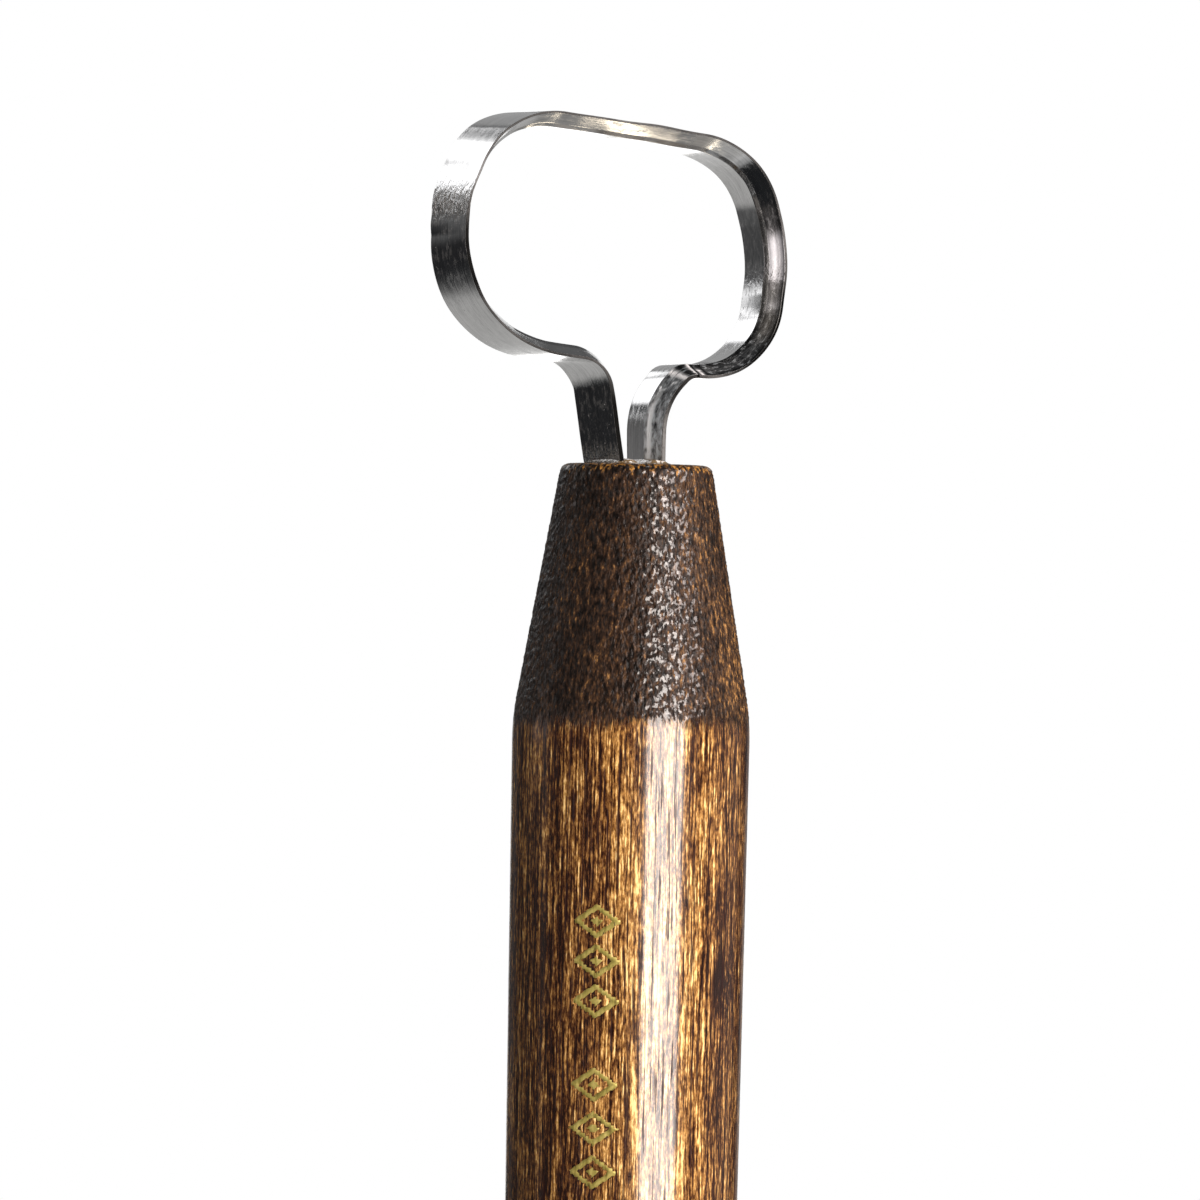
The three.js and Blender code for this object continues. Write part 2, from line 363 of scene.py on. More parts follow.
def addWorld():
    # White to the camera. Other rays see night plus the panels: each is the product of two soft steps, of
    # half width - |azimuth - its azimuth| and of half height - |elevation - its elevation|.
    world = bpy.data.worlds.new("studio")
    bpy.context.scene.world = world
    s = Shader(world)
    x, y, z = s.parts(s.add("ShaderNodeTexCoord", output="Generated"))
    azimuth = (x * -1).math("ARCTAN2", y) * (180 / math.pi)
    elevation = z.math("ARCSINE") * (180 / math.pi)
    light = s.add("ShaderNodeCombineXYZ", {}, dict(zip("XYZ", studio["night"])))
    for a, e, halfWidth, halfHeight, softness, radiance, colour in studio["panels"]:
        inWidth = (halfWidth - (azimuth - a).math("ABSOLUTE")).between(-softness, softness)
        inHeight = (halfHeight - (elevation - e).math("ABSOLUTE")).between(-softness, softness)
        amount = inWidth * inHeight * radiance
        panel = s.add("ShaderNodeVectorMath", {"operation": "SCALE"}, {0: colour, "Scale": amount})
        light = s.add("ShaderNodeVectorMath", {"operation": "ADD"}, {0: light, 1: panel})
    seen = s.add("ShaderNodeLightPath", output="Is Camera Ray")
    s.feed(s.tree.nodes["Background"], {"Color": s.mix(seen, light, (1, 1, 1, 1))})


def addStudio():
    bpy.context.scene.view_settings.view_transform = "Standard"
    addWorld()
    for name, values in studio["lamps"].items():
        addLamp(name, *values)
    s = Shader(bpy.data.materials.new("floor paint"))
    tone = s.noise(s.place(), 0.004)
    paint = s.finish(Base_Color=s.mix(tone, *studio["floorColours"]), Roughness=0.6)
    angles = np.linspace(0, 2 * math.pi, 96, endpoint=False)
    spokes = np.stack([np.cos(angles), np.sin(angles), 0 * angles], 1)
    depth = np.array([0, 0, -1.0])
    rings = np.stack([spokes * studio["floorRadius"], spokes * studio["floorRadius"] + depth])
    floor = closedRings("floor", rings, [0, 0, 0], depth, paint)
    floor.visible_glossy = False


# Wood

handle = {
    "buttRadius": 5.55,
    "shoulderRadius": 6.35,
    "coneLength": 13.6,
    "tipRadius": 4.02,
    "edgeRound": 1.6,
    "shoulderRound": 14.0,
    "rimRound": 0.55,
    "rimWidth": 0.3,        # of the flat left between the tip's round and the hole
    "boreRadius": 3.07,
    "boreShift": -0.415,
    "boreDepth": 21.0,
    "pointDepth": 1.9,
    "columns": 260,
    "firstRing": 0.4,       # how far from the middle of the butt
    "edgeStep": 0.3,
    "coneStep": 0.1,
    "markStep": 0.15,
    "bodyStep": 1.5,
    "crinkleFoot": 1.2,     # how far below the cone its close rings begin
    "crinkleHeight": 0.018,
    "crinkleSize": (0.54, 0.36),    # along and across, mm
    "crinkleRadius": 5.2,           # where the size across is true
    "crinkleSeed": 7,
    "finish": {
        # noises: stretch along the handle, scale, detail, roughness
        "fine": (0.035, 8.0, 3, 0.7),
        "short": (0.28, 7.0, 3, 0.7),
        "middling": (0.06, 2.6, 2, 0.6),
        "broad": (0.1, 0.8, 2, 0.6),
        "pores": (0.03, 8.0, 1, 0.5),
        "flecks": (0.35, 5.4, 3, 0.65),
        "grains": (0.6, 3.8, 2, 0.5, 0.4),      # and distortion
        "specks": (0.5, 5.2, 2, 0.6),
        "middleTone": 0.53,
        "shares": (2.6, 2.0, 1.0, 0.5),         # of the fine, short, middling and broad grain in the tone
        "paintedShadeLeft": ((2.2, 4.7), 0.26),        # painted shade on each side, where less light falls: from and to, beside the axis, and how much darker
        "paintedShadeRight": ((0.8, 3.6), 0.27),
        # a dark place in the grain: how far below the tip and its reach, to the right and its reach, how dark
        "figure": ((27.5, 2.6), (3.2, 1.0), 0.45),
        "body": [(0.0, shade(30, 13, 8)), (0.25, shade(70, 40, 20)), (0.5, shade(126, 87, 46)),
                 (0.75, shade(190, 142, 78)), (1.0, shade(248, 214, 146))],
        "pore": shade(40, 16, 14),
        "cone": [(0.38, shade(14, 10, 8)), (0.52, shade(44, 32, 25)), (0.64, shade(78, 56, 38)),
                 (0.78, shade(170, 126, 74))],
        "rim": [(0.46, shade(34, 20, 10)), (0.64, shade(186, 134, 62))],
        "rimShare": 0.65,
        "footRagged": (3.6, 1.0),       # how far the fine and the broad grain move the cone's foot
        "grainHeight": 0.03,
        "lacquer": 0.64,
    },
}
shoulder = tip - handle["coneLength"]      # height of the cone's foot

mark = {
    "azimuth": 37.5,        # round the handle from the front, to the left
    "groups": [(23.1, 29.4), (31.6, 38.5)],     # from and to, below the tip
    "lozengesEach": 3,
    "half": (1.42, 0.96),   # across and along
    "stroke": 0.42,         # share of the lozenge that its border takes
    "seed": 0.3,            # share of its size that the small lozenge in its middle has
    "pressDepth": 0.05,
    "softEdge": 0.07,
    "margin": 0.3,          # how far past the figures the close rings go
    "film": 0.014,
    "colours": [(0.3, shade(92, 76, 36)), (0.45, shade(158, 146, 72)), (0.7, shade(206, 190, 112))],
    "wornColour": shade(48, 30, 18),
}


def handleProfile():
    # Radius and height of the turned outline, from the butt's flat to the rim of the tip
    corners = np.array([[0, 0], [handle["buttRadius"], 0], [handle["shoulderRadius"], shoulder],
                        [handle["tipRadius"], tip], [handle["boreRadius"] + handle["rimWidth"], tip]], float)
    rounds = [0, handle["edgeRound"], handle["shoulderRound"], handle["rimRound"], 0]
    return roundedLine(corners, rounds, 0.05)


def radiusAt(heights):
    # Read off the turned outline, without the flat and the inner part of the round at the tip
    profile = handleProfile()
    side = profile[profile[:, 0] > handle["boreRadius"] + 0.7]
    return np.interp(heights, side[:, 1], side[:, 0])


def markHeights():
    # The middles of the lozenges
    counts = (np.arange(mark["lozengesEach"]) + 0.5) / mark["lozengesEach"]
    return np.concatenate([tip - start - (end - start) * counts for start, end in mark["groups"]])


def pressed(across, height):
    # 1 inside the stamped figures and 0 outside, over a soft edge. A place's share of a lozenge is
    # |across| / half width + |height - middle| / half height. The border lies at shares of 1 - stroke to 1,
    # and the small lozenge at those below seed.
    edge = mark["softEdge"] / min(mark["half"])
    inside = 0 * across
    for middle in markHeights():
        share = abs(across) / mark["half"][0] + abs(height - middle) / mark["half"][1]
        border = np.minimum(1 - share, share - 1 + mark["stroke"])
        inside = np.maximum(inside, np.clip(np.maximum(border, mark["seed"] - share) / edge + 0.5, 0, 1))
    return inside


def ringPlaces(outline):
    # How far along the turned outline the rings stand, closest together on the figures and the cone, and how
    # far the cone's first ring does
    run = distances(outline)
    low, top = mark["groups"][-1][1], mark["groups"][0][0]
    ends = [handle["edgeRound"] * 1.2, tip - low - mark["margin"], tip - top + mark["margin"],
            shoulder - handle["crinkleFoot"]]
    edgeEnd, markLow, markTop, coneLow = np.interp(ends, outline[:, 1], run)
    stretches = [(handle["firstRing"], edgeEnd, handle["edgeStep"]), (edgeEnd, markLow, handle["bodyStep"]),
                 (markLow, markTop, handle["markStep"]), (markTop, coneLow, handle["bodyStep"]),
                 (coneLow, run[-1], handle["coneStep"])]
    return np.concatenate([np.arange(*stretch) for stretch in stretches]), coneLow


def makeHandle(material):
    # Rings round the axis: radius(height) from the turned outline, moved along its normal by
    # (crinkle - 1) * its height * fade on the cone, and inwards by the press depth in the stamped figures.
    # Then the rings go down the drilled hole to its point.
    outline = handleProfile()
    places, coneLow = ringPlaces(outline)
    line = evenly(outline, places)
    angles = np.linspace(0, 2 * math.pi, handle["columns"], endpoint=False)
    radius = np.repeat(line[:, :1], len(angles), 1)
    height = np.repeat(line[:, 1:], len(angles), 1)
    outward = np.gradient(line, axis=0)
    outward = np.stack([outward[:, 1], -outward[:, 0]], 1)
    outward /= np.linalg.norm(outward, axis=1)[:, None]
    onCone = places >= coneLow
    spacing = (handle["coneStep"], 2 * math.pi * handle["crinkleRadius"] / len(angles))
    rough = crinkle((onCone.sum(), len(angles)), spacing, handle["crinkleSize"], handle["crinkleSeed"])
    atFoot = np.clip((height[onCone] - shoulder) / 0.8 + 0.3, 0, 1)
    atRim = np.clip((tip - height[onCone]) / 0.5 + 0.35, 0.35, 1)
    lift = np.zeros_like(radius)
    lift[onCone] = (np.clip(rough, -2, 2) - 1) * handle["crinkleHeight"] * (atFoot * atRim)
    turn = (angles + math.pi / 2 + math.radians(mark["azimuth"]) + math.pi) % (2 * math.pi) - math.pi
    lift -= pressed(turn * radius, height) * mark["pressDepth"]
    radius = radius + lift * outward[:, :1]
    height = height + lift * outward[:, 1:]
    outer = np.stack([radius * np.cos(angles), radius * np.sin(angles), height], -1)
    ring = np.stack([np.cos(angles), np.sin(angles), 0 * angles], 1)
    shift = np.array([handle["boreShift"], 0, tip])
    bore = [ring * handle["boreRadius"] + shift - [0, 0, depth]
            for depth in (0, 0.15, 1, 6, 12, handle["boreDepth"])]
    point = shift - [0, 0, handle["boreDepth"] + handle["pointDepth"]]
    rings = np.concatenate([outer, np.stack(bore)])
    return closedRings("wooden_handle", rings, [0, 0, 0], point, material)


def woodMaterial():
    # The body's tone is the middle tone plus share * (noise - 0.5) for each grain, less the painted shade at
    # its sides and a dark figure in the grain
    s = Shader(bpy.data.materials.new("stained hardwood"))
    finish = handle["finish"]
    x, _, height = s.parts(s.place())
    sway = s.noise(s.place((1, 1, 0.25)), 0.35, 1)
    swayed = s.add("ShaderNodeVectorMath", {"operation": "MULTIPLY_ADD"},
                   {0: sway, 1: (0.5, 0.5, 0.0), 2: s.place((1, 1, finish["fine"][0]))})
    fine = s.noise(swayed, *finish["fine"][1:])
    short, middling, broad, pores, flecks, grains, specks = (
        s.noise(s.place((1, 1, finish[name][0])), *finish[name][1:])
        for name in ("short", "middling", "broad", "pores", "flecks", "grains", "specks"))
    # painted shade: the body darker towards its left and right sides, away from the key light
    (leftStretch, leftDarker), (rightStretch, rightDarker) = finish["paintedShadeLeft"], finish["paintedShadeRight"]
    left = (x * -1 + (broad - 0.5) * 2).between(*leftStretch)
    right = (x + (broad - 0.5) * 2).between(*rightStretch)
    (belowTip, longReach), acrossPlace, figureDarker = finish["figure"]
    figure = (height + (fine - 0.5) * 4).near(tip - belowTip, longReach)
    figure = figure * (x + (short - 0.5) * 2).near(*acrossPlace)
    tone = finish["middleTone"]
    for grain, share in zip((fine, short, middling, broad), finish["shares"]):
        tone = tone + (grain - 0.5) * share
    tone = tone - (left * leftDarker + right * rightDarker) - figure * figureDarker
    inPore = pores.between(0.6, 0.64)
    body = s.mix(inPore * 0.85, s.ramp(tone, finish["body"]), (*finish["pore"], 1))
    # painted light: the cone's flecks lighter towards its right side, where the key light falls
    paintedLightRight = (x + (broad - 0.5) * 4).between(-1.0, 5.0)
    cone = s.ramp(flecks + (broad - 0.5) * 0.2 + paintedLightRight * 0.09 - 0.01, finish["cone"])
    fineShift, broadShift = finish["footRagged"]
    ragged = height + (fine - 0.5) * fineShift + (broad - 0.5) * broadShift
    onCone = ragged.between(shoulder - 0.25, shoulder + 0.3)
    onRim = (height + (flecks - 0.5) * 2.4).between(tip - 0.3, tip + 0.05)
    colour = s.mix(onRim * finish["rimShare"], s.mix(onCone, body, cone), s.ramp(flecks, finish["rim"]))
    relief = fine * 0.6 + short * 0.4 - inPore * 0.4
    normal = s.bump(relief * (1 - onCone) + grains * onCone * 5.0, finish["grainHeight"])
    rough = 0.24 + inPore * 0.25 + onCone * 0.1
    # the painted side shade also takes away the cone's glossy specks at both sides and the body's coat on the
    # left, painting out their sheen
    glossy = specks.between(0.5, 0.6) * (1 - left * 0.85 - right * 0.45)
    streaks = (fine * 0.5 + short * 0.5).between(0.36, 0.52)
    lacquer = finish["lacquer"] + streaks * 0.36 - inPore * 0.6
    lacquer = lacquer * (1 - left * 0.85) * (1 - onCone) + glossy * onCone
    return s.finish(Base_Color=colour, Roughness=rough, Normal=normal, Coat_Weight=lacquer,
                    Coat_Roughness=0.13, Coat_IOR=1.62, Specular_IOR_Level=0.14)


# Gold foil stamped into the handle

def onHandle(across, height, lift):
    # The point at a distance round the handle from the mark's middle line, at a height, and lifted off the
    # pressed wood
    radius = radiusAt(height) - mark["pressDepth"]
    angle = across / radius - math.pi / 2 - math.radians(mark["azimuth"])
    x, y = (radius + lift) * np.cos(angle), (radius + lift) * np.sin(angle)
    return np.stack([x, y, height + 0 * radius], -1)


def makeMark(material):
    # A border follows the lozenge round at three shares of its size. The small lozenge in it is a grid turned
    # by half a right angle: across = (a + b) / 2, along = (b - a) / 2. Each has an outer and an inner sheet.
    wide, high = mark["half"]
    turns = np.linspace(0, 4, 48, endpoint=False)
    x = 1 - abs((turns + 2) % 4 - 2)
    z = 1 - abs((turns + 1) % 4 - 2)
    a, b = np.meshgrid(np.linspace(-1, 1, 5), np.linspace(-1, 1, 5), indexing="ij")
    shares = np.linspace(1, 1 - mark["stroke"], 3)[:, None]
    vertices, faces, start = [], [], 0
    for middle in markHeights():
        border = [onHandle(x * shares * wide, middle + z * shares * high, lift) for lift in (mark["film"], 0)]
        seed = [onHandle((a + b) / 2 * mark["seed"] * wide, middle + (b - a) / 2 * mark["seed"] * high, lift)
                for lift in (mark["film"], 0)]
        ring = np.concatenate([border[0], border[1][::-1]])
        number = np.arange(ring.shape[0] * ring.shape[1]).reshape(ring.shape[:2]) + start
        after, below = np.roll(number, -1, 1), np.roll(number, -1, 0)
        faces.append(np.stack([number, after, np.roll(below, -1, 1), below], -1).reshape(-1, 4))
        vertices.append(ring.reshape(-1, 3))
        start += ring.shape[0] * ring.shape[1]
        number = np.arange(2 * a.size).reshape(2, *a.shape) + start
        for sheet, order in ((number[0], -1), (number[1], 1)):
            quads = np.stack([sheet[:-1, :-1], sheet[1:, :-1], sheet[1:, 1:], sheet[:-1, 1:]], -1)
            faces.append(quads.reshape(-1, 4)[:, ::order])
        rim = [np.concatenate([n[:, 0], n[-1, 1:], n[-2::-1, -1], n[0, -2:0:-1]]) for n in number]
        nextRim = [np.roll(r, -1) for r in rim]
        faces.append(np.stack([rim[0], nextRim[0], nextRim[1], rim[1]], -1))
        vertices.append(np.stack(seed).reshape(-1, 3))
        start += 2 * a.size
    return addMesh("foil_mark", np.concatenate(vertices), faces, material)


def foilMaterial():
    s = Shader(bpy.data.materials.new("gold foil"))
    wear = s.noise(s.place((1, 1, 0.2)), 4.0, 4, 0.7)
    colour = s.ramp(wear, mark["colours"])
    worn = s.noise(s.place((1, 1, 0.35)), 5.0, 2, 0.6).between(0.66, 0.7)
    colour = s.mix(worn, colour, (*mark["wornColour"], 1))
    return s.finish(Base_Color=colour, Metallic=0.4 - worn * 0.4, Roughness=0.34 + wear * 0.2,
                    Normal=s.bump(wear, 0.01))


# Steel strip

ribbon = {
    "width": 4.7,
    "thickness": 0.78,
    "bevel": 1.5,
    "edge": 0.26,                   # thickness left at the front, in the section
    # and what it becomes: distances along the strip, thicknesses there
    "edgeAlong": ([0, 22.5, 24.5, 31.5, 33, 36, 38, 70, 73, 83],
                  [0.24, 0.24, 0.13, 0.13, 0.2, 0.2, 0.1, 0.13, 0.2, 0.2]),
    "steep": (0.3, 0.155),          # the bevel's steep part: how far and how deep
    "sectionRounds": (0.02, 0.02, 0.3, 0.12, 0.1, 0.1),
    "tang": 19.0,                   # how far the ends go into the handle
    "loop": (18.6, 12.7),           # width, height
    "tilt": 6.0,                    # degrees clockwise
    "shift": -1.7,                  # of the loop's middle, from the handle's axis
    "legRise": 5.35,                # how far the loop's foot stands above the tip
    "drop": 0.3,                    # how much lower its right corner is
    "lean": (15.0, 22.0),           # of its sides in degrees: left, right
    "leanRise": (1.0, 0.9),         # where they start to lean, above its middle
    "radii": {"lowerLeft": 6.3, "leftLean": 5.0, "upperLeft": 4.6, "upperRight": 5.0, "rightLean": 9.0,
              "lowerRight": 4.4, "leftNeck": 1.7, "leftFoot": 3.0, "rightNeck": 0.7, "rightLeg": 3.6},
    "neck": (-0.33, 3.4),           # shift, clear gap
    "foot": (-0.62, 1.04),
    "legSlope": 46.0,
    "flare": {"left": (1.7, 1.5), "right": (4.0, 6.5)},   # up the loop's side, at the foot
    "leftCorners": (5.0, 2.5),      # how much further the upper and the lower left corner flare
    # distance along, reach, degrees, and the share of the width by which the front edge moves with it
    "twists": [(47.3, 2.8, 1.9, 0.0), (50.9, 1.6, -1.9, 0.6)],
    "step": 0.11,
    "waver": (0.02, [9.1, 5.3, 3.1], 3),        # height, wavelengths, seed
    "bevelWaver": (0.1, [7.3, 4.1, 2.3], 5),
    "finish": {
        # noises: how fine along and across, detail, roughness
        "lines": (0.1, 9, 3, 0.7),
        "ridges": (0.05, 2.6, 2, 0.6),
        "blotch": (0.5, 1.2, 3, 0.6),
        "mottle": (1.6, 2.2, 3, 0.65),
        "rub": (2.0, 2.8, 3, 0.65),
        "pits": (4, 6, 1, 0.5),
        "grit": (2.2, 3.4, 3, 0.65),
        "paintedBright": (3.2, 3.6, 1, 0.5),
        "filed": (5, 1.5, 2, 0.6),
        # painted light and shade along the front edge, how bright it looks: distance along / 100, tone
        "paintedEdgeLight": [(0.18, 0.003), (0.225, 0.003), (0.24, 0.03), (0.27, 0.015), (0.305, 0.03), (0.32, 0.02),
                     (0.33, 0.003), (0.362, 0.004), (0.375, 0.05), (0.39, 0.12), (0.405, 0.05), (0.43, 0.03),
                     (0.465, 0.028), (0.49, 0.05), (0.515, 0.03), (0.56, 0.03), (0.585, 0.015), (0.61, 0.05),
                     (0.635, 0.03), (0.645, 0.002), (0.69, 0.002), (0.71, 0.04), (0.725, 0.01), (0.74, 0.006),
                     (0.76, 0.06)],
        "tones": [(0.0, (0.0, 0.0, 0.0)), (0.2, (0.2, 0.2, 0.203)), (0.5, (0.57, 0.568, 0.565)),
                  (1.0, (0.98, 0.97, 0.96))],
        # places along the strip, in mm: the middle and the reach
        "wornSide": (37.7, 1.7),
        "wornCorner": (63.2, 1.2),
        "wornFoot": (19.6, 0.9),
        "glintFacets": [(72.85, 0.24), (72.3, 0.15), (71.8, 0.22)],      # folds at the right neck: their bumps, with painted bright glints on the facets
        # notches between the folds: bumps, painted near black as dark reflections
        "shadedNotches": [(72.56, 0.24), (72.05, 0.18), (71.5, 0.16)],
        "shadow": (74.0, 1.4),
        # places of the pale specks, partly real scratches and partly painted glints: at the rub on the left
        # side and at the fold
        "paintedBrightRub": (37.7, 1.1),
        "paintedBrightFold": (73.5, 0.9),
        "soft": [(49.2, 3.2), (53.7, 1.0)],         # duller polish
        # stretches over which these set in
        "right": (58.5, 60.5),
        "worked": (64, 68),
        "paintedShadeStretch": (64.5, 66.5),
        "filedFrom": (66, 72),
        "rearLine": (71.5, 72.5),
        "leg": (71.6, 73.6),
        "paintedLegLine": (73.6, 75.2),
        "rearLineAcross": ((2.8, 3.15), (3.2, 3.3)),        # both sides of a line, past the crease
        # colours
        "glintFacetColour": (0.9, 0.92, 0.94, 1),
        "notchShadeColour": (0.02, 0.02, 0.02, 1),
        "legTint": (0.94, 1.0, 1.05),
        "paintedLegLineColour": (0.9, 0.96, 1.0, 1),
        "scuffColour": (0.6, 0.69, 0.74, 1),
        "paintedBrightColour": (0.9, 0.94, 0.97, 1),
    },
}


def ribbonLine():
    # The outer side of the strip's front edge in X and Z: the loop's corners are set out in its own frame,
    # turned by the tilt, and joined with the legs' corners by straights and arcs.
    wide, high = ribbon["loop"][0] / 2, ribbon["loop"][1] / 2
    tilt = math.radians(ribbon["tilt"])
    middle = np.array([ribbon["shift"], tip + ribbon["legRise"] + high])
    cosine, sine = math.cos(tilt), math.sin(tilt)

    def onLoop(across, up):
        return middle + [across * cosine + up * sine, up * cosine - across * sine]

    slopes = [math.tan(math.radians(lean)) for lean in ribbon["lean"]]
    leftLean, rightLean = [(high - rise) * slope for rise, slope in zip(ribbon["leanRise"], slopes)]
    low = [onLoop(-wide, -high), onLoop(wide, -high - ribbon["drop"])]
    neckLeft, neckRight, footLeft, footRight = [shift - side * (gap / 2 + ribbon["thickness"])
                                                for shift, gap in (ribbon["neck"], ribbon["foot"])
                                                for side in (1, -1)]
    necks = [low[0] + (low[1] - low[0]) * (x - low[0][0]) / (low[1][0] - low[0][0])
             for x in (neckLeft, neckRight)]
    drop = (neckRight - footRight) * math.tan(math.radians(ribbon["legSlope"]))
    r = ribbon["radii"]
    bottom = tip - ribbon["tang"]
    corners = [((footLeft, bottom), 0), ((footLeft, tip), r["leftFoot"]), (necks[0], r["leftNeck"]),
               (low[0], r["lowerLeft"]), (onLoop(-wide, ribbon["leanRise"][0]), r["leftLean"]),
               (onLoop(-wide + leftLean, high), r["upperLeft"]),
               (onLoop(wide - rightLean, high), r["upperRight"]),
               (onLoop(wide, ribbon["leanRise"][1]), r["rightLean"]), (low[1], r["lowerRight"]),
               (necks[1], r["rightNeck"]), ((footRight, necks[1][1] - drop), r["rightLeg"]),
               ((footRight, bottom), 0)]
    places, radii = zip(*corners)
    return roundedLine(np.array(places, float), radii, 0.05)


def ribbonSection():
    # The strip's section as (depth, thickness). The ground bevel is steepest next to its crease.
    w, t, b, e = ribbon["width"], ribbon["thickness"], ribbon["bevel"], ribbon["edge"]
    steep, hollow = ribbon["steep"]
    corners = [[w / 2, 0], [0, 0], [0, e], [b - steep, t - hollow], [b, t], [w, t], [w, 0], [w / 2, 0]]
    line = roundedLine(np.array(corners), [0, *ribbon["sectionRounds"], 0], 0.02)
    return supported(line[:-1], 0.015)


def makeRibbon(material):
    # The section carried along the line. At each station the depth direction leans out by the flare, which is
    # side flare * (outward . X)^2 + corner flare * |2 (outward . X) (outward . Z)| plus the twists, and the
    # point is line + outward * out + Y * back.
    line = ribbonLine()
    total = distances(line)[-1]
    hidden = ribbon["tang"] - 1
    shown = np.arange(hidden, total - hidden, ribbon["step"])
    places = np.concatenate([np.linspace(0, hidden, 16)[:-1], shown, np.linspace(total - hidden, total, 16)])
    points = evenly(line, places)
    along = np.gradient(points, places, axis=0)
    along /= np.linalg.norm(along, axis=1)[:, None]
    outward = np.stack([-along[:, 1], along[:, 0]], 1)
    aboveTip = np.clip((points[:, 1] - tip) / 2, 0, 1)
    waver, wavelengths, seed = ribbon["waver"]
    points = points + outward * (ripple(places, wavelengths, seed) * waver * aboveTip)[:, None]
    left = outward[:, 0] < 0
    flares = zip(ribbon["flare"]["left"], ribbon["flare"]["right"])
    loopFlare, footFlare = [np.where(left, onLeft, onRight) for onLeft, onRight in flares]
    down = np.clip(1 - (points[:, 1] - tip) / ribbon["legRise"], 0, 1)
    flare = np.radians(loopFlare + (footFlare - loopFlare) * down) * outward[:, 0] ** 2
    upper, lower = ribbon["leftCorners"]
    corner = np.where(outward[:, 1] > 0, upper, lower) * abs(2 * outward[:, 0] * outward[:, 1])
    flare += np.radians(corner) * left
    for middle, reach, degrees, share in ribbon["twists"]:
        twist = math.radians(degrees) * np.exp(-((places - middle) / reach) ** 2)
        flare += twist
        points = points - outward * (twist * ribbon["width"] * share)[:, None]
    section = ribbonSection()
    waver, wavelengths, seed = ribbon["bevelWaver"]
    bevel = (ribbon["bevel"] + ripple(places, wavelengths, seed) * waver)[:, None]
    depth, thickness = section[None, :, 0], section[None, :, 1]
    b, w = ribbon["bevel"], ribbon["width"]
    depth = np.where(depth < b, depth * bevel / b, bevel + (depth - b) * (w - bevel) / (w - b))
    narrower = np.interp(places, *ribbon["edgeAlong"])[:, None] - ribbon["edge"]
    narrower = narrower * np.minimum(thickness / ribbon["edge"], 1)
    thickness = thickness + narrower * np.clip(1 - depth / b, 0, 1)
    sine, cosine = np.sin(flare)[:, None], np.cos(flare)[:, None]
    out = depth * sine - thickness * cosine
    back = depth * cosine + thickness * sine
    x, z = points[:, :1] + outward[:, :1] * out, points[:, 1:] + outward[:, 1:] * out
    rings = np.stack([x, back - w / 2, z], -1)
    perimeter = distances(np.vstack([section, section[:1]]))
    uv = np.stack(np.broadcast_arrays(places[:, None], perimeter[None, :]), -1)
    return closedRings("steel_loop", rings, rings[0].mean(0), rings[-1].mean(0), material, uv)


